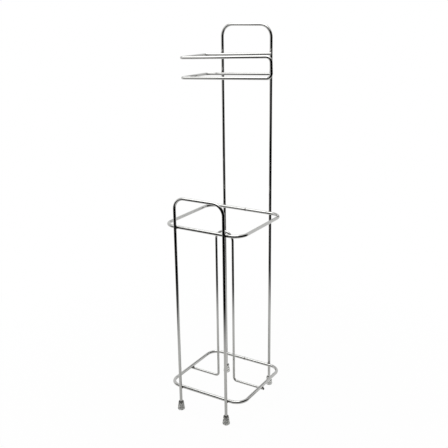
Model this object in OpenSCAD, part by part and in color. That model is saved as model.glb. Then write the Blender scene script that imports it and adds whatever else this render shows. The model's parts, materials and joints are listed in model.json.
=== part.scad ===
// Free-standing toilet roll holder of chromed steel wire: a store for spare rolls between
// two square rings, and an arm for the roll in use on the tall rear frame.
// +X is to the user's right, +Y to the back and +Z up. The floor is z = 0.

/* [Frames] */
// Height of the tall rear frame above the floor
rear_frame_h = 661.5; // [640:0.5:720]
// Height of the front frame's top above the upper ring's middle
front_frame_rise = 54; // [42:0.5:80]
// Width of both frames between the middles of their legs
frame_w = 94; // [84:1:98]
// Bend radius at the rear frame's top corners, to the wire's middle
rear_bend_r = 20; // [8:1:35]
// Bend radius at the front frame's top corners, to the wire's middle
front_bend_r = 19; // [8:1:30]
// Thickness of the frames' wire
frame_wire_d = 5; // [3:0.1:5.5]

/* [Rings] */
// Width of both rings, left to right, between wire middles
ring_w = 148; // [144:1:170]
// Depth of both rings, front to back, between wire middles
ring_d = 145; // [120:1:170]
// Corner radius of both rings, to the wire's middle
ring_corner_r = 21; // [10:1:24]
// Height of the upper ring's middle above the floor
upper_ring_z = 340.5; // [332:0.5:380]
// Height of the lower ring's middle above the floor
lower_ring_z = 43; // [35:0.5:70]
// Thickness of the rings' wire
ring_wire_d = 5.6; // [3:0.1:6.5]
// Place of the upper ring's closing seam, right of the stand's middle
upper_seam_x = 0.5; // [-30:0.5:30]
// Place of the lower ring's closing seam, right of the stand's middle
lower_seam_x = -3; // [-30:0.5:30]
// Length of weld metal in a closing seam
seam_len = 1.5; // [0.4:0.1:2.5]
// How far a closing seam stands proud of the wire
seam_proud = 0.3; // [0.1:0.05:0.4]

/* [Roll spindle] */
// Height of the spindle's top above the floor
spindle_h = 322; // [250:1:330]
// Width of the spindle between the middles of its two uprights
spindle_w = 33; // [26:1:36]
// Straight stretch at the very top of the spindle
spindle_crown = 1; // [0.5:0.5:10]
// Bend radius where the uprights turn out into the feet, to the wire's middle
spindle_foot_bend_r = 6; // [4:0.5:15]
// How far the spindle's feet reach out past the lower ring
spindle_foot_reach = 1.2; // [0.5:0.1:10]
// Thickness of the spindle's wire
spindle_wire_d = 4.2; // [2.5:0.1:5]

/* [Roll arm] */
// Depth of the roll arm's middle below the rear frame's top
arm_drop = 66.8; // [50:0.1:120]
// Gap between the arm's upper and lower wires, between their middles
arm_gap = 32.5; // [28:0.5:40]
// Distance that the arm's front wires hang in front of its rear wires
arm_reach = 79; // [60:1:100]
// Reach of the arm to the left of the stand's middle
arm_left = 77; // [60:1:90]
// Reach of the arm to the right of the stand's middle
arm_right = 92; // [85:1:120]
// Upward slope of the arm towards its open right end, which keeps the roll on, in degrees
arm_rise = 2; // [0:0.5:5]
// Bend radius at the arm's left corners, to the wire's middle
arm_corner_r = 7; // [4:0.5:12]
// Bend radius at the arm's right end, to the wire's middle
arm_tip_r = 8; // [4:0.5:11]
// How far the cut ends of the arm's wire reach past the right rear leg
arm_end_reach = 1.5; // [0.5:0.5:10]
// Thickness of the arm's wire
arm_wire_d = 4.9; // [2.5:0.1:5.5]

/* [Foot caps] */
// Height of a foot cap
foot_h = 16; // [10:0.5:22]
// Diameter of a foot cap at its top
foot_top_d = 9.2; // [8:0.1:11]
// Diameter of a foot cap at its base
foot_base_d = 12.8; // [10:0.1:16]
// Rounding of a foot cap's lower edge
foot_edge_r = 2; // [0.5:0.1:3]
// Thickness of a foot cap's base under the wire
foot_floor = 3; // [1.5:0.5:5]
// Width of the sloped lip round a foot cap's mouth
foot_lip = 0.9; // [0.3:0.1:1]
// Space between the leg and the foot cap's bore, all round
foot_grip_gap = 0.05; // [0:0.01:0.2]

/* [Welds] */
// Radius of the weld metal round each crossing of two wires
weld_r = 2.1; // [1.2:0.1:2.4]
// Space between crossing wires, which the weld fills
weld_gap = 0.2; // [0.1:0.05:0.4]

/* [Hidden] */
$fn = 48;

chrome = [0.80, 0.81, 0.82];
weld_grey = [0.45, 0.45, 0.46];
vinyl_grey = [0.62, 0.63, 0.61];

sides = [-1, 1];
// Straight steps that round a foot cap's lower edge
foot_edge_steps = 6;
frame_r = frame_wire_d / 2;
ring_r = ring_wire_d / 2;
spindle_r = spindle_wire_d / 2;
arm_r = arm_wire_d / 2;

// Frames stand outside the rings' front and rear wires
leg_x = frame_w / 2;
weld_y = ring_d / 2 + ring_r + weld_gap / 2;
frame_y = weld_y + weld_gap / 2 + frame_r;
rear_top_z = rear_frame_h - frame_r;
front_top_z = upper_ring_z + front_frame_rise - frame_r;

// Spindle's feet lie under the lower ring's side wires
spindle_weld_z = lower_ring_z - ring_r - weld_gap / 2;
spindle_foot_z = spindle_weld_z - weld_gap / 2 - spindle_r;
spindle_end_x = ring_w / 2 + ring_r + spindle_foot_reach;
spindle_top_z = spindle_h - spindle_r;
spindle_top_r = (spindle_w - spindle_crown) / 2;

// Arm's rear wires lie on the front of the rear frame's legs
arm_weld_y = frame_y - frame_r - weld_gap / 2;
arm_rear_y = arm_weld_y - weld_gap / 2 - arm_r;
arm_front_y = arm_rear_y - arm_reach;
arm_end_x = leg_x + frame_r + arm_end_reach;
arm_z = rear_frame_h - arm_drop;
arm_top = arm_gap / 2;
tip_side_x = (arm_right - arm_tip_r) * cos(arm_rise) + (arm_top - arm_tip_r) * sin(arm_rise);
arm_right_reach = tip_side_x + arm_tip_r + arm_r;
arm_left_reach = arm_left * cos(arm_rise) + arm_top * sin(arm_rise) + arm_r;

// The stand's middle lies left or right of the origin, so that the origin is the middle
// of the whole outline
left_reach = max(arm_left_reach, spindle_end_x);
right_reach = max(arm_right_reach, spindle_end_x);
stand_x = (left_reach - right_reach) / 2;

function unit(v) = v / norm(v);
function turn(u, v) = acos(u * v);

// Places a shape so that its own z runs along ahead and its own x along side
module aim(place, side, ahead) {
    up = cross(ahead, side);
    multmatrix([
        [side.x, up.x, ahead.x, place.x],
        [side.y, up.y, ahead.y, place.y],
        [side.z, up.z, ahead.z, place.z]
    ]) children();
}

// Round wire along a list of points, with a bend of radius bends[i] at each inner point
module bent_wire(points, bends, wire_d) {
    last = len(points) - 1;
    runs = [for (i = [0 : last - 1]) unit(points[i + 1] - points[i])];
    turns = [for (i = [1 : last - 1]) turn(runs[i - 1], runs[i])];
    trims = [0, for (i = [0 : last - 2]) bends[i] * tan(turns[i] / 2), 0];
    normals = [for (i = [1 : last - 1]) unit(cross(runs[i - 1], runs[i]))];
    for (i = [0 : last - 1]) {
        from = points[i] + runs[i] * trims[i];
        to = points[i + 1] - runs[i] * trims[i + 1];
        aim(from, normals[min(i, last - 2)], runs[i]) cylinder(d = wire_d, h = norm(to - from));
    }
    for (i = [0 : last - 2]) {
        start = points[i + 1] - runs[i] * trims[i + 1];
        inward = cross(normals[i], runs[i]);
        aim(start + inward * bends[i], -inward, normals[i])
            rotate_extrude(angle = turns[i]) translate([bends[i], 0]) circle(d = wire_d);
    }
}

module frame_wire(y, top_z, bend_r) {
    bent_wire([
        [-leg_x, y, foot_floor],
        [-leg_x, y, top_z],
        [leg_x, y, top_z],
        [leg_x, y, foot_floor]
    ], [bend_r, bend_r], frame_wire_d);
}

module rear_wire() {
    frame_wire(frame_y, rear_top_z, rear_bend_r);
}

module front_wire() {
    frame_wire(-frame_y, front_top_z, front_bend_r);
}

// Ring of one wire whose two ends meet the closing seam in the rear side
module ring_wire(z, seam_x) {
    x = ring_w / 2;
    y = ring_d / 2;
    corners = [[x, y, z], [x, -y, z], [-x, -y, z], [-x, y, z]];
    bent_wire(concat(
        [[seam_x + seam_len / 2, y, z]],
        corners,
        [[seam_x - seam_len / 2, y, z]]
    ), [for (corner = corners) ring_corner_r], ring_wire_d);
}

module spindle_wire() {
    x = spindle_w / 2;
    bent_wire([
        [-spindle_end_x, 0, spindle_foot_z],
        [-x, 0, spindle_foot_z],
        [-x, 0, spindle_top_z],
        [x, 0, spindle_top_z],
        [x, 0, spindle_foot_z],
        [spindle_end_x, 0, spindle_foot_z]
    ], [spindle_foot_bend_r, spindle_top_r, spindle_top_r, spindle_foot_bend_r], spindle_wire_d);
}

// One wire: in along the rear, forward, out along the front, down at the tip and back again
module level_arm_wire() {
    bent_wire([
        [arm_end_x, arm_rear_y, arm_top],
        [-arm_left, arm_rear_y, arm_top],
        [-arm_left, arm_front_y, arm_top],
        [arm_right, arm_front_y, arm_top],
        [arm_right, arm_front_y, -arm_top],
        [-arm_left, arm_front_y, -arm_top],
        [-arm_left, arm_rear_y, -arm_top],
        [arm_end_x, arm_rear_y, -arm_top]
    ], [arm_corner_r, arm_corner_r, arm_tip_r, arm_tip_r, arm_corner_r, arm_corner_r], arm_wire_d);
}

module arm_wire() {
    translate([0, 0, arm_z]) rotate([0, -arm_rise, 0]) level_arm_wire();
}

module rear_frame() {
    color(chrome) translate([stand_x, 0, 0]) rear_wire();
}

module front_frame() {
    color(chrome) translate([stand_x, 0, 0]) front_wire();
}

module upper_ring() {
    color(chrome) translate([stand_x, 0, 0]) ring_wire(upper_ring_z, upper_seam_x);
}

module lower_ring() {
    color(chrome) translate([stand_x, 0, 0]) ring_wire(lower_ring_z, lower_seam_x);
}

module roll_spindle() {
    color(chrome) translate([stand_x, 0, 0]) spindle_wire();
}

module roll_arm() {
    color(chrome) translate([stand_x, 0, 0]) arm_wire();
}

// Tapered soft cap pushed onto the leg, with a rounded lower edge and a sloped mouth
module foot_cap(x_side, y_side) {
    bore_r = frame_r + foot_grip_gap;
    base_r = foot_base_d / 2;
    top_r = foot_top_d / 2;
    lean = atan((base_r - top_r) / foot_h);
    edge = [
        for (i = [0 : foot_edge_steps])
            let (a = -90 + i * (90 + lean) / foot_edge_steps)
            [base_r - foot_edge_r + foot_edge_r * cos(a), foot_edge_r + foot_edge_r * sin(a)]
    ];
    color(vinyl_grey) translate([stand_x + x_side * leg_x, y_side * frame_y, 0])
        rotate_extrude() polygon(concat(
            [[0, 0]],
            edge,
            [
                [top_r, foot_h],
                [bore_r + foot_lip, foot_h],
                [bore_r, foot_h - foot_lip],
                [bore_r, foot_floor],
                [0, foot_floor]
            ]
        ));
}

// Weld metal between two crossing wires: one above it along y, and one below it along x or
// turned from x by a slope. Each is cut out over more than the bead's own width
module weld_bead(upper_r, lower_r, slope = 0) {
    cut = 3 * weld_r;
    difference() {
        sphere(r = weld_r);
        translate([0, 0, weld_gap / 2 + upper_r])
            rotate([90, 0, 0]) cylinder(r = upper_r, h = cut, center = true);
        translate([0, 0, -weld_gap / 2 - lower_r])
            rotate([0, 90, slope]) cylinder(r = lower_r, h = cut, center = true);
    }
}

module ring_crossing_welds(z) {
    for (x_side = sides, y_side = sides)
        color(weld_grey) translate([stand_x + x_side * leg_x, y_side * weld_y, z])
            rotate([-90 * y_side, 0, 0]) weld_bead(frame_r, ring_r);
}

module upper_ring_welds() {
    ring_crossing_welds(upper_ring_z);
}

module lower_ring_welds() {
    ring_crossing_welds(lower_ring_z);
}

module spindle_welds() {
    for (x_side = sides)
        color(weld_grey) translate([stand_x + x_side * ring_w / 2, 0, spindle_weld_z])
            weld_bead(ring_r, spindle_r);
}

module roll_arm_welds() {
    for (x = [-leg_x, leg_x], z_side = sides) {
        z = arm_z + x * tan(arm_rise) + z_side * arm_top / cos(arm_rise);
        color(weld_grey) translate([stand_x + x, arm_weld_y, z])
            rotate([-90, 0, 0]) weld_bead(frame_r, arm_r, -arm_rise);
    }
}

// Weld metal that joins a ring's two cut ends, with a rounded rim just proud of the wire
module ring_seam(z, seam_x) {
    rim_r = seam_len / 2;
    color(weld_grey) translate([stand_x + seam_x, ring_d / 2, z])
        rotate([0, 90, 0]) rotate_extrude() {
            translate([0, -rim_r]) square([ring_r, seam_len]);
            translate([ring_r + seam_proud - rim_r, 0]) circle(r = rim_r);
        }
}

module upper_ring_seam() {
    ring_seam(upper_ring_z, upper_seam_x);
}

module lower_ring_seam() {
    ring_seam(lower_ring_z, lower_seam_x);
}

rear_frame();
front_frame();
upper_ring();
lower_ring();
roll_spindle();
roll_arm();
foot_cap(-1, 1);  // foot_rear_left
foot_cap(1, 1);  // foot_rear_right
foot_cap(-1, -1);  // foot_front_left
foot_cap(1, -1);  // foot_front_right
upper_ring_welds();
lower_ring_welds();
spindle_welds();
roll_arm_welds();
upper_ring_seam();
lower_ring_seam();
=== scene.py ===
"""Finishes and studio for a free-standing toilet roll holder of chromed steel wire.

It is laid out as an add-on and run as a script: main() builds everything around the packed
frame. Lengths are metres, and the floor is z = 0.
"""

import json
import math

import bmesh
import bpy
from bpy.props import (
    FloatProperty,
    FloatVectorProperty,
    IntProperty,
    PointerProperty,
)
from bpy.types import Operator, Panel, PropertyGroup
from mathutils import Matrix, Vector, noise

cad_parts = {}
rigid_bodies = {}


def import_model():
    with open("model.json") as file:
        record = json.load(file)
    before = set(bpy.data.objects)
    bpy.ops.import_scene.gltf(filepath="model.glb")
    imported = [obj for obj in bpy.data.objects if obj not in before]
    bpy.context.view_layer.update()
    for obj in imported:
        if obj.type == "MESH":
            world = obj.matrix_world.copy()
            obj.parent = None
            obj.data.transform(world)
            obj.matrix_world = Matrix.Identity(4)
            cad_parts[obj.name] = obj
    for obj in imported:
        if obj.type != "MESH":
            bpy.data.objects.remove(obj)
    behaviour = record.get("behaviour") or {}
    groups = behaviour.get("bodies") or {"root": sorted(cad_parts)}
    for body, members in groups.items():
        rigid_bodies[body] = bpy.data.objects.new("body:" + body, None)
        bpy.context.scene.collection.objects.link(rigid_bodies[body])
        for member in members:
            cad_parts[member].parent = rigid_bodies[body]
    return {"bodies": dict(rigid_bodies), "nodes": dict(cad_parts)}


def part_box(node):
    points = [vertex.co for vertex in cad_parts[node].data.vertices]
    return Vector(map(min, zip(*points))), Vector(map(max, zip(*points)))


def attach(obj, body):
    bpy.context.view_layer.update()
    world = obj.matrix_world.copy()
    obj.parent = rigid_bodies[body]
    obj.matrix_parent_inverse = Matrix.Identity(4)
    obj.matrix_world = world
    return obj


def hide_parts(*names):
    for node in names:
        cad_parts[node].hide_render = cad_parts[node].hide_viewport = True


bl_info = {
    "name": "Wire toilet roll holder finishes",
    "version": (1, 0, 0),
    "blender": (4, 5, 0),
    "location": "3D View > Sidebar > Roll Holder",
    "description": "Chrome, weld metal, vinyl feet and a plain studio for a wire roll holder",
    "category": "Object",
}

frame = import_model()

MM = 0.001
BODY = "root"

# The photograph's frame and the camera found from it
PHOTO_PIXELS = 448
FOCAL_PIXELS = 702.6
SENSOR_WIDTH_MM = 36.0
NEAR_CLIP = 0.02

FRAMES = ("rear_frame", "front_frame")
RINGS = ("upper_ring", "lower_ring")
WIRES = (*FRAMES, *RINGS, "roll_spindle", "roll_arm")
FEET = ("foot_rear_left", "foot_rear_right", "foot_front_left", "foot_front_right")
RIGHT, DEPTH, UP = 0, 1, 2

# Sockets of the Mix node, which go by number because its kinds share their names
NUMBER_A, NUMBER_B, NUMBER_OUT = 2, 3, 0
COLOUR_A, COLOUR_B, COLOUR_OUT = 6, 7, 2


def linear(hex_colour):
    """Linear red, green and blue from an sRGB hex colour such as #C4C6C8."""
    parts = [int(hex_colour[i : i + 2], 16) / 255 for i in (1, 3, 5)]
    return tuple(p / 12.92 if p <= 0.04045 else ((p + 0.055) / 1.055) ** 2.4 for p in parts)


def opaque(colour, shade=1.0):
    """Colour times a shade, with full alpha, as a shader socket takes it."""
    return (*(min(1.0, shade * c) for c in colour), 1.0)


WHITE = opaque(linear("#FFFFFF"))


# ---- user's values


class HolderWireFinish(PropertyGroup):
    """Finish of the bright wires."""

    plate_colour: FloatVectorProperty(
        name="Plate colour",
        description="Colour of the chrome plate",
        subtype="COLOR",
        size=3,
        min=0.0,
        max=1.0,
        default=linear("#B6B6B4"),
    )
    polish: FloatProperty(
        name="Roughness",
        description="Roughness of clean plate",
        subtype="FACTOR",
        min=0.0,
        max=1.0,
        default=0.03,
    )
    haze: FloatProperty(
        name="Haze",
        description="Roughness that handling and dried water add in patches",
        subtype="FACTOR",
        min=0.0,
        max=1.0,
        default=0.07,
    )
    line_spacing: FloatProperty(
        name="Draw line spacing",
        description="Distance between the lines that the drawing die leaves along the wire",
        unit="LENGTH",
        min=0.05 * MM,
        max=2 * MM,
        default=0.4 * MM,
    )
    line_length: FloatProperty(
        name="Draw line length",
        description="Length over which one die line fades",
        unit="LENGTH",
        min=2 * MM,
        max=100 * MM,
        default=28 * MM,
    )


class HolderWeldFinish(PropertyGroup):
    """Shape and finish of the weld metal."""

    # Weld colour: the weld metal's own dull colour, partly darkened as painted shade for the gap
    # where the wires cross
    metal_and_gap_shade_colour: FloatVectorProperty(
        name="Weld colour",
        description="Colour of weld metal under thin plate",
        subtype="COLOR",
        size=3,
        min=0.0,
        max=1.0,
        default=linear("#6A6865"),
    )
    heat_colour: FloatVectorProperty(
        name="Heat tint",
        description="Colour of the heated skin round each weld",
        subtype="COLOR",
        size=3,
        min=0.0,
        max=1.0,
        default=linear("#322B26"),
    )
    reach: FloatProperty(
        name="Weld reach",
        description="Radius of the metal squeezed out round each crossing",
        unit="LENGTH",
        min=1.2 * MM,
        max=4 * MM,
        default=3.3 * MM,
    )
    thickness: FloatProperty(
        name="Weld thickness",
        description="Half the thickness of that metal between the two wires",
        unit="LENGTH",
        min=0.5 * MM,
        max=2 * MM,
        default=1.5 * MM,
    )
    unevenness: FloatProperty(
        name="Unevenness",
        description="Height of the lumps in the squeezed metal",
        unit="LENGTH",
        min=0.0,
        max=0.5 * MM,
        default=0.16 * MM,
    )


class HolderFootFinish(PropertyGroup):
    """Shape and finish of the foot caps."""

    vinyl_colour: FloatVectorProperty(
        name="Vinyl colour",
        description="Colour of the soft caps",
        subtype="COLOR",
        size=3,
        min=0.0,
        max=1.0,
        default=linear("#CACBC8"),
    )
    clearness: FloatProperty(
        name="Clearness",
        description="Share of light that passes through the vinyl",
        subtype="FACTOR",
        min=0.0,
        max=1.0,
        default=0.8,
    )
    # Painted shade: how far under the rim the darker colour reaches; it stands for the shade in
    # the cap's mouth
    mouth_shade: FloatProperty(
        name="Mouth shade",
        description="How far under the rim the painted shade round the mouth reaches",
        unit="LENGTH",
        min=0.0,
        max=8 * MM,
        default=3.0 * MM,
    )
    lip: FloatProperty(
        name="Lip radius",
        description="Radius of the rolled rim round the mouth",
        unit="LENGTH",
        min=0.2 * MM,
        max=1.0 * MM,
        default=0.5 * MM,
    )
    parting_line: FloatProperty(
        name="Parting line",
        description="Height of the fine ridge where the mould's halves met",
        unit="LENGTH",
        min=0.0,
        max=0.3 * MM,
        default=0.12 * MM,
    )
    segments: IntProperty(
        name="Segments",
        description="Faces round a cap",
        min=24,
        max=192,
        default=96,
    )


class HolderStudio(PropertyGroup):
    """Camera, floor, light and dark cards."""

    azimuth: FloatProperty(
        name="Camera azimuth",
        description="Turn of the camera from straight in front towards the right",
        subtype="ANGLE",
        default=math.radians(31.857),
    )
    elevation: FloatProperty(
        name="Camera elevation",
        description="Angle that the camera looks down",
        subtype="ANGLE",
        default=math.radians(17.356),
    )
    roll: FloatProperty(
        name="Camera roll",
        description="Tilt of the camera about its own axis",
        subtype="ANGLE",
        default=math.radians(-0.789),
    )
    place: FloatVectorProperty(
        name="Camera place",
        description="Place of the camera",
        subtype="TRANSLATION",
        unit="LENGTH",
        size=3,
        default=(0.59687, -0.97292, 0.69086),
    )
    card_distance: FloatProperty(
        name="Card distance",
        description="Distance of both dark cards from the holder",
        unit="LENGTH",
        min=0.3,
        max=3.0,
        default=0.58,
    )
    card_height: FloatProperty(
        name="Card height",
        description="Height of the curved dark card",
        unit="LENGTH",
        min=0.3,
        max=3.0,
        default=1.3,
    )
    left_height: FloatProperty(
        name="Left card height",
        description="Height to which the curved card falls towards its left end",
        unit="LENGTH",
        min=0.1,
        max=3.0,
        default=0.42,
    )
    back_height: FloatProperty(
        name="Back card height",
        description="Height of the middle of the small dark card behind the holder",
        unit="LENGTH",
        min=0.1,
        max=3.0,
        default=0.58,
    )
    apron_start: FloatProperty(
        name="Apron start",
        description="Distance from the holder at which the dark apron on the floor begins",
        unit="LENGTH",
        min=0.1,
        max=3.0,
        default=0.28,
    )
    card_spread: FloatProperty(
        name="Card spread",
        description="Angle that the curved card covers on each side of the camera",
        subtype="ANGLE",
        default=math.radians(100),
    )
    floor_colour: FloatVectorProperty(
        name="Floor colour",
        description="Colour of the studio paper",
        subtype="COLOR",
        size=3,
        min=0.0,
        max=1.0,
        default=linear("#DADAD8"),
    )
    floor_share: FloatProperty(
        name="Floor whiteness",
        description="Share of plain white that the camera sees in the floor under the holder",
        subtype="FACTOR",
        min=0.0,
        max=1.0,
        default=0.97,
    )
    mirror_share: FloatProperty(
        name="Mirrored whiteness",
        description="Share of plain white that bright metal mirrors from the floor beside it",
        subtype="FACTOR",
        min=0.0,
        max=1.0,
        default=0.2,
    )
    lamp_power: FloatProperty(
        name="Lamp power",
        description="Power of the overhead soft lamp",
        unit="POWER",
        min=0.0,
        max=200.0,
        default=14.0,
    )
    fill: FloatProperty(
        name="Fill level",
        description="Level of the even light from all round",
        min=0.0,
        max=2.0,
        default=0.62,
    )


# ---- helpers


def add(tree, kind, inputs=None, **settings):
    """Adds one shader node, with its settings, its input values and links from other nodes.

    A socket goes by its name, or by its number where several share one name.
    """
    made = tree.nodes.new("ShaderNode" + kind)
    for name, value in settings.items():
        setattr(made, name, value)
    for socket, value in (inputs or {}).items():
        if isinstance(value, bpy.types.NodeSocket):
            tree.links.new(value, made.inputs[socket])
        else:
            made.inputs[socket].default_value = value
    return made


def new_material(name):
    """An empty node material and its tree."""
    material = bpy.data.materials.new(name)
    material.use_nodes = True
    material.node_tree.nodes.clear()
    return material, material.node_tree


def node_object(name):
    """A CAD node's object, which has to be in the packed frame."""
    if name not in frame["nodes"]:
        raise RuntimeError(f"the packed frame has no node {name}")
    return frame["nodes"][name]


def dress(name, material):
    """Gives a CAD node a finish in each of its material slots."""
    for slot in node_object(name).material_slots:
        slot.material = material


def middle(name):
    """Middle of a CAD node's box."""
    low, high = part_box(name)
    return (low + high) / 2


def wire_radius(name):
    """Half the thickness of a wire that lies flat in its own plane."""
    low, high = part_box(name)
    return min(high - low) / 2


def new_piece(name, mesh, material, replaced=()):
    """Links a new mesh as a piece of the holder."""
    made = bpy.data.objects.new(name, mesh)
    bpy.context.scene.collection.objects.link(made)
    mesh.materials.append(material)
    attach(made, BODY)
    if replaced:
        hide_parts(*replaced)
    return made


def finish_mesh(name, shape, smooth=True):
    """Turns a bmesh into a mesh with outward faces."""
    bmesh.ops.recalc_face_normals(shape, faces=shape.faces)
    for face in shape.faces:
        face.smooth = smooth
    mesh = bpy.data.meshes.new(name)
    shape.to_mesh(mesh)
    shape.free()
    return mesh


def bridge(shape, rings):
    """Faces between neighbouring rings of vertices, of which the first or last may be a point."""
    for one, two in zip(rings, rings[1:]):
        count = max(len(one), len(two))
        for i in range(count):
            j = (i + 1) % count
            if len(one) == 1:
                shape.faces.new((one[0], two[i], two[j]))
            elif len(two) == 1:
                shape.faces.new((one[i], one[j], two[0]))
            else:
                shape.faces.new((one[i], one[j], two[j], two[i]))


# ---- wires

# How far inside a wire's outline its die lines start and finish their turn round a bend.
# The first is for the corners of frames and rings
CORNER_TURN = (12 * MM, 4 * MM)
SPINDLE_FOOT_TURN = (6 * MM, 3 * MM)
SPINDLE_TOP_TURN = (7 * MM, 3 * MM)
ARM_TURN = (7 * MM, 4 * MM)

# Width of a patch of haze, and the noise values between which it fades in
HAZE_WIDTH = 22 * MM
HAZE_FADE = (0.46, 0.72)

# Noise values between which a die line fades in, what it then adds to the roughness, and
# its height to a pit's depth
LINE_FADE = (0.35, 0.7)
LINE_ROUGHNESS = (-0.01, 0.03)
LINE_HEIGHT = 0.7

# Spacing of the pits, their floor's and their rim's radius as shares of it, and how much
# light a pit gives back
PIT_SPACING = 9 * MM
PIT_FLOOR, PIT_RIM = 0.02, 0.035
PIT_SHADE = 0.62

# Depth of a pit
PIT_DEPTH = 0.01 * MM

# A sheared end: its colours where it is torn and where it is burnished, the width of its
# grain and the depth of its tears
TORN_STEEL = linear("#121110")
BURNISHED_STEEL = linear("#3E3C39")
TEAR_WIDTH = 0.35 * MM
TEAR_DEPTH = 0.08 * MM

# Its face: rings and points, the share of the wire's radius that it covers, how deep it is
# rooted in the wire, and how high its rim, its middle, its burr and its lumps stand
CUT_RINGS, CUT_POINTS = 5, 40
CUT_COVER = 0.985
CUT_ROOT = 0.02 * MM
CUT_RIM, CUT_CROWN, CUT_BURR = 0.04 * MM, 0.10 * MM, 0.16 * MM
CUT_LUMP, CUT_LUMP_WIDTH = 0.05 * MM, 0.8 * MM

# Where the arm's cut ends are looked for: how far from its welds' depth, and from its tips
ARM_REAR_DEPTH = 8 * MM
ARM_END_DEPTH = 0.4 * MM


def band(tree, place, axis, centre, start, stop):
    """Share from 0 to 1 as the distance from centre along one axis goes from start to stop."""
    split = add(tree, "SeparateXYZ", {"Vector": place})
    off = add(tree, "Math", {0: split.outputs[axis], 1: centre}, operation="SUBTRACT")
    far = add(tree, "Math", {0: off.outputs[0]}, operation="ABSOLUTE")
    share = add(
        tree,
        "MapRange",
        {"Value": far.outputs[0], "From Min": start, "From Max": stop},
        interpolation_type="SMOOTHSTEP",
    )
    return share.outputs["Result"]


def draw_lines(tree, place, axis, finish):
    """Fine lines along one axis."""
    scale = [1 / finish.line_spacing] * 3
    scale[axis] = 1 / finish.line_length
    stretched = add(tree, "Mapping", {"Vector": place, "Scale": scale})
    lines = add(
        tree,
        "TexNoise",
        {"Vector": stretched.outputs[0], "Scale": 1.0, "Detail": 3.0, "Roughness": 0.6},
    )
    return lines.outputs["Fac"]


def wire_runs():
    """The axis along which each wire runs, and the bands where it turns to another axis."""
    runs = {}
    for name in FRAMES:
        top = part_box(name)[1].z
        runs[name] = (UP, [(RIGHT, (UP, 0.0, *(top - off for off in CORNER_TURN)))])
    for name in RINGS:
        low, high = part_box(name)
        centre, side = (low.x + high.x) / 2, (high.x - low.x) / 2
        runs[name] = (RIGHT, [(DEPTH, (RIGHT, centre, *(side - off for off in CORNER_TURN)))])
    low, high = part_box("roll_spindle")
    runs["roll_spindle"] = (
        UP,
        [
            (RIGHT, (UP, 0.0, *(low.z + off for off in SPINDLE_FOOT_TURN))),
            (RIGHT, (UP, 0.0, *(high.z - off for off in SPINDLE_TOP_TURN))),
        ],
    )
    low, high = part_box("roll_arm")
    bends = [high.x - low.x - off for off in ARM_TURN]
    runs["roll_arm"] = (
        RIGHT,
        [(DEPTH, (RIGHT, high.x, *bends)), (UP, (RIGHT, low.x, *bends))],
    )
    return runs


def chromed_wire(name, runs, finish):
    """Bright chrome plate on cold-drawn steel wire.

    Mirror-bright, with die lines along the wire, haze in patches where hands and steam reach,
    and a few fine pits. The die lines of real wire are under a tenth of a millimetre apart;
    here they are as coarse as it takes to show.
    """
    material, tree = new_material("bright_chrome_on_drawn_wire_" + name)
    place = add(tree, "TexCoord").outputs["Object"]
    main_axis, turns = runs
    lines = draw_lines(tree, place, main_axis, finish)
    for axis, where in turns:
        other = draw_lines(tree, place, axis, finish)
        share = band(tree, place, *where)
        lines = add(
            tree,
            "Mix",
            {"Factor": share, NUMBER_A: lines, NUMBER_B: other},
            data_type="FLOAT",
        ).outputs[NUMBER_OUT]
    haze = add(
        tree,
        "TexNoise",
        {"Vector": place, "Scale": 1 / HAZE_WIDTH, "Detail": 4.0, "Roughness": 0.62},
    )
    patches = add(
        tree,
        "MapRange",
        {
            "Value": haze.outputs["Fac"],
            "From Min": HAZE_FADE[0],
            "From Max": HAZE_FADE[1],
            "To Min": finish.polish,
            "To Max": finish.polish + finish.haze,
        },
        interpolation_type="SMOOTHSTEP",
    )
    streaks = add(
        tree,
        "MapRange",
        {
            "Value": lines,
            "From Min": LINE_FADE[0],
            "From Max": LINE_FADE[1],
            "To Min": LINE_ROUGHNESS[0],
            "To Max": LINE_ROUGHNESS[1],
        },
    )
    rough = add(
        tree,
        "Math",
        {0: patches.outputs["Result"], 1: streaks.outputs["Result"]},
        operation="ADD",
        use_clamp=True,
    )
    pits = add(
        tree,
        "TexVoronoi",
        {"Vector": place, "Scale": 1 / PIT_SPACING, "Randomness": 1.0},
        feature="F1",
    )
    pitted = add(
        tree,
        "MapRange",
        {"Value": pits.outputs["Distance"], "From Min": PIT_FLOOR, "From Max": PIT_RIM},
        interpolation_type="SMOOTHSTEP",
    )
    shade = add(
        tree,
        "Mix",
        {
            "Factor": pitted.outputs["Result"],
            COLOUR_A: opaque(finish.plate_colour, PIT_SHADE),
            COLOUR_B: opaque(finish.plate_colour),
        },
        data_type="RGBA",
    )
    height = add(
        tree,
        "Math",
        {0: lines, 1: LINE_HEIGHT, 2: pitted.outputs["Result"]},
        operation="MULTIPLY_ADD",
    )
    relief = add(
        tree,
        "Bump",
        {"Strength": 0.12, "Distance": PIT_DEPTH, "Height": height.outputs[0]},
    )
    shader = add(
        tree,
        "BsdfPrincipled",
        {
            "Base Color": shade.outputs[COLOUR_OUT],
            "Metallic": 1.0,
            "Roughness": rough.outputs[0],
            "Normal": relief.outputs[0],
        },
    )
    add(tree, "OutputMaterial", {"Surface": shader.outputs[0]})
    return material


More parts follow.
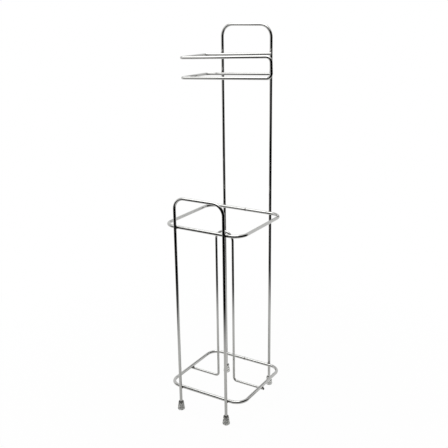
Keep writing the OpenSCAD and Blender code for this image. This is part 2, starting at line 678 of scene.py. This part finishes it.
def sheared_end():
    """Cropped steel wire end under thin plate.

    The shear leaves one half burnished and the other torn, and plate hardly reaches it, so it
    is dull and dark against the bright wire.
    """
    material, tree = new_material("sheared_wire_end")
    place = add(tree, "TexCoord").outputs["Object"]
    tear = add(
        tree,
        "TexNoise",
        {"Vector": place, "Scale": 1 / TEAR_WIDTH, "Detail": 4.0, "Roughness": 0.7},
    )
    shade = add(
        tree,
        "Mix",
        {
            "Factor": tear.outputs["Fac"],
            COLOUR_A: opaque(TORN_STEEL),
            COLOUR_B: opaque(BURNISHED_STEEL),
        },
        data_type="RGBA",
    )
    rough = add(
        tree,
        "MapRange",
        {"Value": tear.outputs["Fac"], "To Min": 0.65, "To Max": 0.35},
    )
    relief = add(
        tree,
        "Bump",
        {"Strength": 0.6, "Distance": TEAR_DEPTH, "Height": tear.outputs["Fac"]},
    )
    shader = add(
        tree,
        "BsdfPrincipled",
        {
            "Base Color": shade.outputs[COLOUR_OUT],
            "Metallic": 1.0,
            "Roughness": rough.outputs["Result"],
            "Normal": relief.outputs[0],
        },
    )
    add(tree, "OutputMaterial", {"Surface": shader.outputs[0]})
    return material


def spindle_ends():
    """Middle, outward direction and radius of the spindle's two cut ends."""
    low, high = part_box("roll_spindle")
    radius = wire_radius("roll_spindle")
    z = low.z + radius
    return [(Vector((low.x, 0.0, z)), -1, radius), (Vector((high.x, 0.0, z)), 1, radius)]


def arm_ends():
    """Middle, outward direction and radius of the arm's two cut ends, past the rear right leg."""
    leg_y = middle("roll_arm_welds").y
    z = middle("roll_arm").z
    verts = [v.co for v in node_object("roll_arm").data.vertices]
    rear = [co for co in verts if abs(co.y - leg_y) < ARM_REAR_DEPTH]
    ends = []
    for part in ([co for co in rear if co.z < z], [co for co in rear if co.z > z]):
        tip = max(co.x for co in part)
        face = [co for co in part if co.x > tip - ARM_END_DEPTH]
        low = Vector(min(co[i] for co in face) for i in range(3))
        high = Vector(max(co[i] for co in face) for i in range(3))
        ends.append(((low + high) / 2, 1, (high.y - low.y) / 2))
    return ends


def add_cut_face(shape, place, way, radius):
    """A sheared face: rounded over on the side the blade entered, with a burr on the other."""
    rings = []
    for k in range(CUT_RINGS + 1):
        reach = radius * (1 - k / CUT_RINGS) * CUT_COVER
        ring = []
        for i in range(CUT_POINTS if k < CUT_RINGS else 1):
            angle = 2 * math.pi * i / CUT_POINTS
            y, z = reach * math.cos(angle), reach * math.sin(angle)
            lift = CUT_RIM + CUT_CROWN * (1 - (reach / radius) ** 4)
            burr = CUT_BURR * max(0.0, -z / radius) ** 3 * (reach / radius) ** 6
            rough = noise.noise(Vector((y, z, place.z)) / CUT_LUMP_WIDTH) * CUT_LUMP
            x = place.x + way * (lift + burr + rough)
            ring.append(shape.verts.new((x, place.y + y, place.z + z)))
        rings.append(ring)
    back = [
        shape.verts.new((place.x - way * CUT_ROOT, vert.co.y, vert.co.z)) for vert in rings[0]
    ]
    bridge(shape, [back, *rings])
    shape.faces.new(back)


class HOLDER_OT_wires(Operator):
    """Plate the six wires and finish the cut ends that show"""

    bl_idname = "holder.wires"
    bl_label = "Wires"

    def execute(self, context):
        finish = context.scene.holder_wire
        runs = wire_runs()
        for name in WIRES:
            dress(name, chromed_wire(name, runs[name], finish))
        cut = sheared_end()
        for name, ends in (("roll_spindle", spindle_ends()), ("roll_arm", arm_ends())):
            shape = bmesh.new()
            for place, way, radius in ends:
                add_cut_face(shape, place, way, radius)
            mesh = finish_mesh(name + "_cut_ends", shape)
            new_piece(name + "_cut_ends", mesh, cut)
        return {"FINISHED"}


# ---- welds

# Width of the grain in the weld metal's skin, its depth, and the noise values between which
# its heat tint gives way
GRAIN_WIDTH = 0.9 * MM
GRAIN_DEPTH = 0.1 * MM
TINT_FADE = (0.38, 0.58)

# Lumps of a nugget: how fast they change from one nugget's place to the next, how many
# coarse and fine lumps fit in its radius, and a fine one's height to a coarse one's
NUGGET_STEP = 3 * MM
COARSE_LUMPS, FINE_LUMPS = 1.7, 5.0
FINE_HEIGHT = 0.35

# How far from a leg's middle its weld metal is looked for
WELD_SEARCH = 4 * MM


def weld_metal(finish):
    """Resistance-welded steel under thin plate.

    Squeezed out soft and plated over, so it is duller and darker than the wire, lumpy, with
    brown heat tint in its hollows. Part of its darkness is painted shade, standing for the
    shade in the gap where the crossing wires meet.
    """
    material, tree = new_material("plated_weld_and_painted_gap_shade")
    place = add(tree, "TexCoord").outputs["Object"]
    lumps = add(
        tree,
        "TexNoise",
        {"Vector": place, "Scale": 1 / GRAIN_WIDTH, "Detail": 5.0, "Roughness": 0.6},
    )
    tint = add(
        tree,
        "MapRange",
        {"Value": lumps.outputs["Fac"], "From Min": TINT_FADE[0], "From Max": TINT_FADE[1]},
        interpolation_type="SMOOTHSTEP",
    )
    # Weld colour: dull metal and heat tint, partly darkened as painted shade for the gap where
    # the wires cross
    shade = add(
        tree,
        "Mix",
        {
            "Factor": tint.outputs["Result"],
            COLOUR_A: opaque(finish.heat_colour),
            COLOUR_B: opaque(finish.metal_and_gap_shade_colour),
        },
        data_type="RGBA",
    )
    rough = add(
        tree,
        "MapRange",
        {"Value": lumps.outputs["Fac"], "To Min": 0.5, "To Max": 0.22},
    )
    relief = add(
        tree,
        "Bump",
        {"Strength": 0.5, "Distance": GRAIN_DEPTH, "Height": lumps.outputs["Fac"]},
    )
    shader = add(
        tree,
        "BsdfPrincipled",
        {
            "Base Color": shade.outputs[COLOUR_OUT],
            "Metallic": 1.0,
            "Roughness": rough.outputs["Result"],
            "Normal": relief.outputs[0],
        },
    )
    add(tree, "OutputMaterial", {"Surface": shader.outputs[0]})
    return material


def add_nugget(shape, place, across, finish):
    """Metal squeezed out round one crossing: a flattened lumpy ball, thin along one axis."""
    size = [finish.reach] * 3
    size[across] = finish.thickness
    ball = bmesh.ops.create_icosphere(shape, subdivisions=4, radius=1.0)["verts"]
    start = place / NUGGET_STEP
    for vert in ball:
        away = vert.co.normalized()
        lump = noise.noise(start + away * COARSE_LUMPS) * finish.unevenness
        lump += noise.noise(start + away * FINE_LUMPS) * finish.unevenness * FINE_HEIGHT
        vert.co = place + Vector(away[i] * (size[i] + lump) for i in range(3))


def ring_crossings(name):
    """Places where one ring crosses the legs of the two frames."""
    low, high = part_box(name)
    z = (low.z + high.z) / 2
    places = []
    for legs in FRAMES:
        leg_low, leg_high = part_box(legs)
        leg = wire_radius(legs)
        y = (high.y + leg_low.y) / 2 if legs == "rear_frame" else (low.y + leg_high.y) / 2
        places += [Vector((x, y, z)) for x in (leg_low.x + leg, leg_high.x - leg)]
    return places


def spindle_crossings():
    """Places where the spindle's feet cross the lower ring's sides."""
    z = middle("spindle_welds").z
    ring = wire_radius("lower_ring")
    low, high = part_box("lower_ring")
    return [Vector((x, 0.0, z)) for x in (low.x + ring, high.x - ring)]


def arm_crossings():
    """Places where the arm's rear wires cross the rear frame's legs."""
    places = []
    y = middle("roll_arm_welds").y
    leg_low, leg_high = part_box("rear_frame")
    leg = wire_radius("rear_frame")
    verts = [v.co for v in node_object("roll_arm_welds").data.vertices]
    for x in (leg_low.x + leg, leg_high.x - leg):
        near = [v.z for v in verts if abs(v.x - x) < WELD_SEARCH]
        split = (min(near) + max(near)) / 2
        for part in ([z for z in near if z < split], [z for z in near if z > split]):
            places.append(Vector((x, y, (min(part) + max(part)) / 2)))
    return places


class HOLDER_OT_welds(Operator):
    """Build the lumpy weld metal at each crossing and finish the rings' seams"""

    bl_idname = "holder.welds"
    bl_label = "Welds"

    def execute(self, context):
        finish = context.scene.holder_weld
        metal = weld_metal(finish)
        groups = {ring + "_welds": (ring_crossings(ring), DEPTH) for ring in RINGS}
        groups["roll_arm_welds"] = (arm_crossings(), DEPTH)
        groups["spindle_welds"] = (spindle_crossings(), UP)
        for name, (places, across) in groups.items():
            shape = bmesh.new()
            for place in places:
                add_nugget(shape, place, across, finish)
            mesh = finish_mesh(name + "_metal", shape)
            new_piece(name + "_metal", mesh, metal, (name,))
        for ring in RINGS:
            dress(ring + "_seam", metal)
        return {"FINISHED"}


# ---- feet

# Clouds in the vinyl: their width, and the shade of the palest and the deepest
CLOUD_WIDTH = 5 * MM
PALE_CLOUD, DEEP_CLOUD = 1.18, 0.84

# Orange peel on the vinyl: its width and its depth
PEEL_WIDTH = 0.45 * MM
PEEL_DEPTH = 0.05 * MM

# Dust and painted shade on a cap: the dust from the floor and how high it reaches, and the
# painted shade under the rim, for the shade in the mouth, and the share of its reach over which
# it is full
DUST_COLOUR = linear("#B9B6AF")
DUST_REACH = 3.5 * MM
MOUTH_SHADE_COLOUR = linear("#7C7C78")
MOUTH_SHADE_FULL = 0.3

# How far a point may lie from the top or the base of a CAD cap and still be in it, and the
# space between leg and bore
FACE_TOLERANCE = 0.01 * MM
BORE_GAP = 0.05 * MM

# Hollow under a cap: its depth, and where its slope starts and stops as shares of the
# flat base's radius
HOLLOW_DEPTH = 0.35 * MM
HOLLOW_START, HOLLOW_STOP = 0.5, 0.65

# Rounded lower edge and rolled rim: first and last angle in degrees, and steps
EDGE_ARC = (-90, 12, 10)
RIM_ARC = (-20, 150, 8)

# Slightly full wall: a point this far in from the base's radius, one this far out from the
# top's, and the share of the height at which each lies
LOWER_WALL = (-0.45 * MM, 0.34)
UPPER_WALL = (0.75 * MM, 0.62)

# Neck under the rim: it starts this far outside the top's radius and ends as far inside,
# over this height
NECK_STEP = 0.12 * MM
NECK_HEIGHT = 0.6 * MM

# Sloped mouth: its width at the first of these depths, and at the second it meets the bore
MOUTH_WIDTH = 0.25 * MM
MOUTH_DEPTHS = (1.6 * MM, 2.6 * MM)

# Parting line: half its width, how far outside the leg it stays, and how high it starts
PARTING_WIDTH = 0.45 * MM
PARTING_CLEAR = 1.0 * MM
PARTING_START = 0.8 * MM


def vinyl(finish, rim):
    """Moulded soft PVC, translucent grey.

    Satin skin with a fine orange peel from the mould, slightly cloudy inside, scuffed pale
    towards the floor, and darker under its rim with painted shade for the shade in the mouth.
    The leg shows through it as a darker core.
    """
    material, tree = new_material("moulded_soft_vinyl")
    place = add(tree, "TexCoord").outputs["Object"]
    cloud = add(
        tree,
        "TexNoise",
        {"Vector": place, "Scale": 1 / CLOUD_WIDTH, "Detail": 3.0, "Roughness": 0.55},
    )
    height = add(tree, "SeparateXYZ", {"Vector": place})
    scuff = add(
        tree,
        "MapRange",
        {"Value": height.outputs[UP], "From Min": DUST_REACH, "From Max": 0.0},
        interpolation_type="SMOOTHSTEP",
    )
    body = add(
        tree,
        "Mix",
        {
            "Factor": cloud.outputs["Fac"],
            COLOUR_A: opaque(finish.vinyl_colour, DEEP_CLOUD),
            COLOUR_B: opaque(finish.vinyl_colour, PALE_CLOUD),
        },
        data_type="RGBA",
    )
    dusted = add(
        tree,
        "Math",
        {0: scuff.outputs["Result"], 1: cloud.outputs["Fac"]},
        operation="MULTIPLY",
    )
    shade = add(
        tree,
        "Mix",
        {
            "Factor": dusted.outputs[0],
            COLOUR_A: body.outputs[COLOUR_OUT],
            COLOUR_B: opaque(DUST_COLOUR),
        },
        data_type="RGBA",
    )
    # Painted shade: darker colour under the rim, standing for the shade in the cap's mouth
    mouth_shade_mask = add(
        tree,
        "MapRange",
        {
            "Value": height.outputs[UP],
            "From Min": rim - finish.mouth_shade,
            "From Max": rim - MOUTH_SHADE_FULL * finish.mouth_shade,
        },
        interpolation_type="SMOOTHSTEP",
    )
    mouth_shaded = add(
        tree,
        "Mix",
        {
            "Factor": mouth_shade_mask.outputs["Result"],
            COLOUR_A: shade.outputs[COLOUR_OUT],
            COLOUR_B: opaque(MOUTH_SHADE_COLOUR),
        },
        data_type="RGBA",
    )
    peel = add(
        tree,
        "TexNoise",
        {"Vector": place, "Scale": 1 / PEEL_WIDTH, "Detail": 2.0},
    )
    rough = add(
        tree,
        "MapRange",
        {"Value": cloud.outputs["Fac"], "To Min": 0.04, "To Max": 0.14},
    )
    relief = add(
        tree,
        "Bump",
        {"Strength": 0.2, "Distance": PEEL_DEPTH, "Height": peel.outputs["Fac"]},
    )
    shader = add(
        tree,
        "BsdfPrincipled",
        {
            "Base Color": mouth_shaded.outputs[COLOUR_OUT],
            "Roughness": rough.outputs["Result"],
            "IOR": 1.53,
            "Transmission Weight": finish.clearness,
            "Normal": relief.outputs[0],
        },
    )
    add(tree, "OutputMaterial", {"Surface": shader.outputs[0]})
    return material


def arc(centre, radius, start, stop, steps):
    """Points along an arc in the plane of radius and height, in degrees."""
    angles = [math.radians(start + (stop - start) * i / steps) for i in range(steps + 1)]
    return [(centre[0] + radius * math.cos(a), centre[1] + radius * math.sin(a)) for a in angles]


def cap_profile(height, base, flat, top, bore, floor, finish):
    """Outline of a cap's wall from the middle of its underside round to the bore's floor."""
    edge = base - flat
    lip = finish.lip
    neck = height - 2.0 * lip
    points = [(0.0, HOLLOW_DEPTH), (HOLLOW_START * flat, HOLLOW_DEPTH), (HOLLOW_STOP * flat, 0.0)]
    points += arc((flat, edge), edge, *EDGE_ARC)
    points += [(base + LOWER_WALL[0], height * LOWER_WALL[1])]
    points += [(top + UPPER_WALL[0], height * UPPER_WALL[1])]
    points += [(top + NECK_STEP, neck - NECK_HEIGHT), (top - NECK_STEP, neck)]
    points += arc((top - lip, height - lip), lip, *RIM_ARC)
    points += [(bore + MOUTH_WIDTH, height - MOUTH_DEPTHS[0]), (bore, height - MOUTH_DEPTHS[1])]
    points += [(bore, floor), (0.0, floor)]
    return points


def cap_mesh(name, centre, finish):
    """One cap, turned from its outline, with a parting line down each side."""
    low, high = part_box(name)
    height = high.z
    base = (high.x - low.x) / 2
    leg = wire_radius("rear_frame")
    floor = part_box("rear_frame")[0].z
    outline = [
        (co.z, math.hypot(co.x - centre.x, co.y - centre.y))
        for co in (v.co for v in node_object(name).data.vertices)
    ]
    top = max(reach for z, reach in outline if z > height - FACE_TOLERANCE)
    flat = max(reach for z, reach in outline if z < FACE_TOLERANCE)
    profile = cap_profile(height, base, flat, top, leg + BORE_GAP, floor, finish)
    shape = bmesh.new()
    rings = []
    for radius, z in profile:
        if radius == 0.0:
            rings.append([shape.verts.new((centre.x, centre.y, z))])
            continue
        ring = []
        for i in range(finish.segments):
            angle = 2 * math.pi * i / finish.segments
            reach = radius
            if radius > leg + PARTING_CLEAR and z > PARTING_START:
                off = abs(math.sin(angle)) * radius
                reach += finish.parting_line * max(0.0, 1 - off / PARTING_WIDTH)
            x, y = centre.x + reach * math.cos(angle), centre.y + reach * math.sin(angle)
            ring.append(shape.verts.new((x, y, z)))
        rings.append(ring)
    bridge(shape, rings)
    return finish_mesh(name + "_cap", shape)


class HOLDER_OT_feet(Operator):
    """Mould the four foot caps"""

    bl_idname = "holder.feet"
    bl_label = "Foot caps"

    def execute(self, context):
        finish = context.scene.holder_foot
        material = vinyl(finish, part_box(FEET[0])[1].z)
        for name in FEET:
            mesh = cap_mesh(name, middle(name), finish)
            new_piece(name + "_cap", mesh, material, (name,))
        return {"FINISHED"}


# ---- studio

# Studio paper: the width and depth of its tooth, and how far out from the holder it lies
TOOTH_WIDTH = 1.2 * MM
TOOTH_DEPTH = 0.05 * MM
FLOOR_REACH = 4.0

# Distances from the holder's middle over which the floor turns plain white, as the camera
# sees it and as metal mirrors it, and depths behind the middle over which metal mirrors it so
SEEN_FADE = (0.15, 0.75)
MIRROR_FADE = (0.12, 0.55)
BEHIND_FADE = (0.01, 0.09)

# Curved card: its cloth, its steps, how high its apron lies, and how far before the card's
# foot the apron is full black
VELVET, PALE_CLOTH = linear("#0A0A0A"), linear("#D8D8D6")
CARD_STEPS = 48
APRON_LIFT = MM
APRON_MARGIN = 0.01

# Its top fades in between these shares of its height. Turning left from straight in front of
# the holder, the top falls between the first two angles, and the cloth pales between the others
TOP_FADE = (1.0, 0.7)
FALL_ANGLES = (math.radians(-16.5), math.radians(-40))
PALE_ANGLES = (math.radians(-45), math.radians(-68))

# Back card: its felt, half its width and height, and the shares of its size between which its
# soft edge fades in
FELT = linear("#161616")
BACK_HALF_WIDTH, BACK_HALF_HEIGHT = 0.22, 0.09
BACK_FADE = (0.5, 0.3)

# Overhead lamp: its side, its place, and the point that it faces
LAMP_WIDTH = 1.3
LAMP_PLACE = Vector((-0.25, -0.15, 1.6))
LAMP_AIM = Vector((0, 0, 0.2))


def seen_share(tree, straight=1.0, mirrored=1.0):
    """How white a surface looks: straight to the camera, mirrored in metal or through vinyl.

    Rays that only carry light get 0.
    """
    path = add(tree, "LightPath").outputs
    passed = add(
        tree,
        "Math",
        {0: path["Is Glossy Ray"], 1: path["Is Transmission Ray"]},
        operation="ADD",
        use_clamp=True,
    )
    mirror = add(tree, "Math", {0: passed.outputs[0], 1: mirrored}, operation="MULTIPLY")
    return add(
        tree,
        "Math",
        {0: path["Is Camera Ray"], 1: straight, 2: mirror.outputs[0]},
        operation="MULTIPLY_ADD",
        use_clamp=True,
    ).outputs[0]


def white_world(studio):
    """White all round, and an even fill light."""
    world = bpy.context.scene.world or bpy.data.worlds.new("studio_white")
    bpy.context.scene.world = world
    world.name = "studio_white"
    world.use_nodes = True
    tree = world.node_tree
    tree.nodes.clear()
    fill = add(tree, "Background", {"Color": WHITE, "Strength": studio.fill})
    seen = add(tree, "Background", {"Color": WHITE, "Strength": 1.0})
    mixed = add(tree, "MixShader", {0: seen_share(tree), 1: fill.outputs[0], 2: seen.outputs[0]})
    add(tree, "OutputWorld", {"Surface": mixed.outputs[0]})


def paper_floor(studio):
    """Matt white seamless paper: even, with a slight tooth, and the holder's soft shadow.

    Away from the holder it turns plain white, as the camera sees it and as metal mirrors it.
    Behind the holder's middle metal mirrors it plain white at once.
    """
    material, tree = new_material("matt_studio_paper")
    place = add(tree, "TexCoord").outputs["Object"]
    tooth = add(tree, "TexNoise", {"Vector": place, "Scale": 1 / TOOTH_WIDTH, "Detail": 2.0})
    relief = add(
        tree,
        "Bump",
        {"Strength": 0.1, "Distance": TOOTH_DEPTH, "Height": tooth.outputs["Fac"]},
    )
    paper = add(
        tree,
        "BsdfPrincipled",
        {
            "Base Color": opaque(studio.floor_colour),
            "Roughness": 0.9,
            "Specular IOR Level": 0.1,
            "Normal": relief.outputs[0],
        },
    )
    white = add(tree, "Emission", {"Color": WHITE, "Strength": 1.0})
    away = add(tree, "VectorMath", {0: place}, operation="LENGTH")
    seen, mirrored = [
        add(
            tree,
            "MapRange",
            {
                "Value": away.outputs["Value"],
                "From Min": near,
                "From Max": far,
                "To Min": share,
                "To Max": 1.0,
            },
            interpolation_type="SMOOTHSTEP",
        )
        for (near, far), share in (
            (SEEN_FADE, studio.floor_share),
            (MIRROR_FADE, studio.mirror_share),
        )
    ]
    depth = add(tree, "SeparateXYZ", {"Vector": place}).outputs[DEPTH]
    behind = add(
        tree,
        "MapRange",
        {"Value": depth, "From Min": BEHIND_FADE[0], "From Max": BEHIND_FADE[1]},
        interpolation_type="SMOOTHSTEP",
    )
    brighter = add(
        tree,
        "Math",
        {0: mirrored.outputs["Result"], 1: behind.outputs["Result"]},
        operation="MAXIMUM",
    )
    share = seen_share(tree, seen.outputs["Result"], brighter.outputs[0])
    mixed = add(tree, "MixShader", {0: share, 1: paper.outputs[0], 2: white.outputs[0]})
    add(tree, "OutputMaterial", {"Surface": mixed.outputs[0]})
    return material


def black_card(studio):
    """Black velvet on card, which gives bright metal its dark lines.

    It fades out towards the holder along the floor and at its top, so that the wires'
    reflections have soft edges. Towards its left end its top falls, and it turns pale.
    """
    material, tree = new_material("black_velvet_card")
    place = add(tree, "TexCoord").outputs["Object"]
    split = add(tree, "SeparateXYZ", {"Vector": place}).outputs
    flat = add(tree, "CombineXYZ", {0: split[RIGHT], 1: split[DEPTH], 2: 0.0})
    reach = add(tree, "VectorMath", {0: flat.outputs[0]}, operation="LENGTH")
    apron = add(
        tree,
        "MapRange",
        {
            "Value": reach.outputs["Value"],
            "From Min": studio.apron_start,
            "From Max": studio.card_distance - APRON_MARGIN,
        },
        interpolation_type="SMOOTHSTEP",
    )
    forward = add(tree, "Math", {0: split[DEPTH], 1: -1.0}, operation="MULTIPLY")
    turned = add(tree, "Math", {0: split[RIGHT], 1: forward.outputs[0]}, operation="ARCTAN2")
    edge = add(
        tree,
        "MapRange",
        {
            "Value": turned.outputs[0],
            "From Min": FALL_ANGLES[0],
            "From Max": FALL_ANGLES[1],
            "To Min": studio.card_height,
            "To Max": studio.left_height,
        },
        interpolation_type="SMOOTHSTEP",
    )
    level = add(tree, "Math", {0: split[UP], 1: edge.outputs["Result"]}, operation="DIVIDE")
    top = add(
        tree,
        "MapRange",
        {"Value": level.outputs[0], "From Min": TOP_FADE[0], "From Max": TOP_FADE[1]},
        interpolation_type="SMOOTHSTEP",
    )
    cover = add(
        tree,
        "Math",
        {0: apron.outputs["Result"], 1: top.outputs["Result"]},
        operation="MULTIPLY",
    )
    paler = add(
        tree,
        "MapRange",
        {"Value": turned.outputs[0], "From Min": PALE_ANGLES[0], "From Max": PALE_ANGLES[1]},
        interpolation_type="SMOOTHSTEP",
    )
    shade = add(
        tree,
        "Mix",
        {
            "Factor": paler.outputs["Result"],
            COLOUR_A: opaque(VELVET),
            COLOUR_B: opaque(PALE_CLOTH),
        },
        data_type="RGBA",
    )
    cloth = add(
        tree,
        "BsdfPrincipled",
        {
            "Base Color": shade.outputs[COLOUR_OUT],
            "Roughness": 1.0,
            "Specular IOR Level": 0.0,
        },
    )
    clear = add(tree, "BsdfTransparent")
    mixed = add(
        tree, "MixShader", {0: cover.outputs[0], 1: clear.outputs[0], 2: cloth.outputs[0]}
    )
    add(tree, "OutputMaterial", {"Surface": mixed.outputs[0]})
    return material


def grey_card():
    """Dark grey felt on card, with a soft edge, like a gap between two white walls."""
    material, tree = new_material("grey_felt_card")
    place = add(tree, "TexCoord").outputs["Generated"]
    off = add(tree, "VectorMath", {0: place, 1: (0.5, 0.5, 0.5)}, operation="SUBTRACT")
    reach = add(tree, "VectorMath", {0: off.outputs[0]}, operation="LENGTH")
    cover = add(
        tree,
        "MapRange",
        {"Value": reach.outputs["Value"], "From Min": BACK_FADE[0], "From Max": BACK_FADE[1]},
        interpolation_type="SMOOTHSTEP",
    )
    felt = add(
        tree,
        "BsdfPrincipled",
        {"Base Color": opaque(FELT), "Roughness": 1.0, "Specular IOR Level": 0.0},
    )
    clear = add(tree, "BsdfTransparent")
    mixed = add(
        tree,
        "MixShader",
        {0: cover.outputs["Result"], 1: clear.outputs[0], 2: felt.outputs[0]},
    )
    add(tree, "OutputMaterial", {"Surface": mixed.outputs[0]})
    return material


def stage_object(name, mesh, material):
    """Links a mesh as part of the studio, not of the holder."""
    made = bpy.data.objects.new(name, mesh)
    bpy.context.scene.collection.objects.link(made)
    mesh.materials.append(material)
    return made


class HOLDER_OT_stage(Operator):
    """Set up the camera, the white surroundings, the floor, the two dark cards and the lamp"""

    bl_idname = "holder.stage"
    bl_label = "Studio"

    def execute(self, context):
        studio = context.scene.holder_studio
        self.aim_camera(context, studio)
        white_world(studio)
        self.lay_floor(studio)
        self.stand_curved_card(studio)
        self.hang_back_card(studio)
        self.hang_lamp(studio)
        context.scene.view_settings.view_transform = "Standard"
        return {"FINISHED"}

    def aim_camera(self, context, studio):
        a, e, tilt = studio.azimuth, studio.elevation, studio.roll
        ahead = Vector((-math.sin(a) * math.cos(e), math.cos(a) * math.cos(e), -math.sin(e)))
        right = Vector((math.cos(a), math.sin(a), 0.0))
        up = right.cross(ahead)
        across = math.cos(tilt) * right + math.sin(tilt) * up
        over = -math.sin(tilt) * right + math.cos(tilt) * up
        camera = bpy.data.cameras.new("photo_camera")
        camera.sensor_fit = "HORIZONTAL"
        camera.sensor_width = SENSOR_WIDTH_MM
        camera.lens = SENSOR_WIDTH_MM * FOCAL_PIXELS / PHOTO_PIXELS
        camera.clip_start = NEAR_CLIP
        holder = bpy.data.objects.new("photo_camera", camera)
        context.scene.collection.objects.link(holder)
        turn = Matrix((across, over, -ahead)).transposed()
        holder.matrix_world = Matrix.Translation(Vector(studio.place)) @ turn.to_4x4()
        context.scene.camera = holder

    def lay_floor(self, studio):
        shape = bmesh.new()
        bmesh.ops.create_grid(shape, x_segments=8, y_segments=8, size=FLOOR_REACH)
        stage_object("studio_floor", finish_mesh("studio_floor", shape), paper_floor(studio))

    def stand_curved_card(self, studio):
        """A card curved round the camera's side, with an apron on the floor."""
        shape = bmesh.new()
        inner, outer, spread = studio.apron_start, studio.card_distance, studio.card_spread
        section = ((inner, APRON_LIFT), (outer, APRON_LIFT), (outer, studio.card_height))
        columns = []
        for i in range(CARD_STEPS + 1):
            angle = studio.azimuth - spread + 2 * spread * i / CARD_STEPS
            x, y = math.sin(angle), -math.cos(angle)
            columns.append([shape.verts.new((x * reach, y * reach, z)) for reach, z in section])
        for one, two in zip(columns, columns[1:]):
            shape.faces.new((one[0], two[0], two[1], one[1]))
            shape.faces.new((one[1], two[1], two[2], one[2]))
        mesh = finish_mesh("dark_card", shape, smooth=False)
        self.hide_card(stage_object("dark_card", mesh, black_card(studio)))

    def hang_back_card(self, studio):
        """A small card high behind the holder, for a thin dark line along the lower rails."""
        shape = bmesh.new()
        y, z = studio.card_distance, studio.back_height
        shape.faces.new(
            [
                shape.verts.new((x_side * BACK_HALF_WIDTH, y, z + z_side * BACK_HALF_HEIGHT))
                for x_side, z_side in ((-1, -1), (1, -1), (1, 1), (-1, 1))
            ]
        )
        mesh = finish_mesh("back_card", shape, smooth=False)
        self.hide_card(stage_object("back_card", mesh, grey_card()))

    def hide_card(self, card):
        """Leaves a card to be seen in the metal only."""
        card.visible_camera = False
        card.visible_diffuse = False
        card.visible_shadow = False
        card.visible_transmission = False

    def hang_lamp(self, studio):
        lamp = bpy.data.lights.new("overhead_softbox", "AREA")
        lamp.shape = "RECTANGLE"
        lamp.size, lamp.size_y = LAMP_WIDTH, LAMP_WIDTH
        lamp.energy = studio.lamp_power
        hung = bpy.data.objects.new("overhead_softbox", lamp)
        bpy.context.scene.collection.objects.link(hung)
        hung.location = LAMP_PLACE
        hung.rotation_euler = (LAMP_AIM - LAMP_PLACE).to_track_quat("-Z", "Y").to_euler()
        hung.visible_camera = False


# ---- panel and registration

STEPS = (HOLDER_OT_stage, HOLDER_OT_wires, HOLDER_OT_welds, HOLDER_OT_feet)
VALUES = {
    "holder_wire": HolderWireFinish,
    "holder_weld": HolderWeldFinish,
    "holder_foot": HolderFootFinish,
    "holder_studio": HolderStudio,
}


class HOLDER_PT_panel(Panel):
    """Steps and values of the roll holder"""

    bl_idname = "HOLDER_PT_panel"
    bl_label = "Roll Holder"
    bl_space_type = "VIEW_3D"
    bl_region_type = "UI"
    bl_category = "Roll Holder"

    def draw(self, context):
        for step in STEPS:
            self.layout.operator(step.bl_idname)
        for name, group in VALUES.items():
            values = getattr(context.scene, name)
            box = self.layout.box()
            box.label(text=group.__doc__)
            for key in group.__annotations__:
                box.prop(values, key)


def register():
    for group in (*VALUES.values(), *STEPS, HOLDER_PT_panel):
        bpy.utils.register_class(group)
    for name, group in VALUES.items():
        setattr(bpy.types.Scene, name, PointerProperty(type=group))


def unregister():
    for name in VALUES:
        delattr(bpy.types.Scene, name)
    for group in reversed((*VALUES.values(), *STEPS, HOLDER_PT_panel)):
        bpy.utils.unregister_class(group)


def clear_start():
    """Removes what Blender's start file holds, and keeps the frame."""
    kept = set(frame["nodes"].values()) | set(frame["bodies"].values())
    for thing in list(bpy.data.objects):
        if thing not in kept:
            bpy.data.objects.remove(thing)


def main():
    clear_start()
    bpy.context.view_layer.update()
    register()
    bpy.ops.holder.stage()
    bpy.ops.holder.wires()
    bpy.ops.holder.welds()
    bpy.ops.holder.feet()


if __name__ == "__main__":
    main()
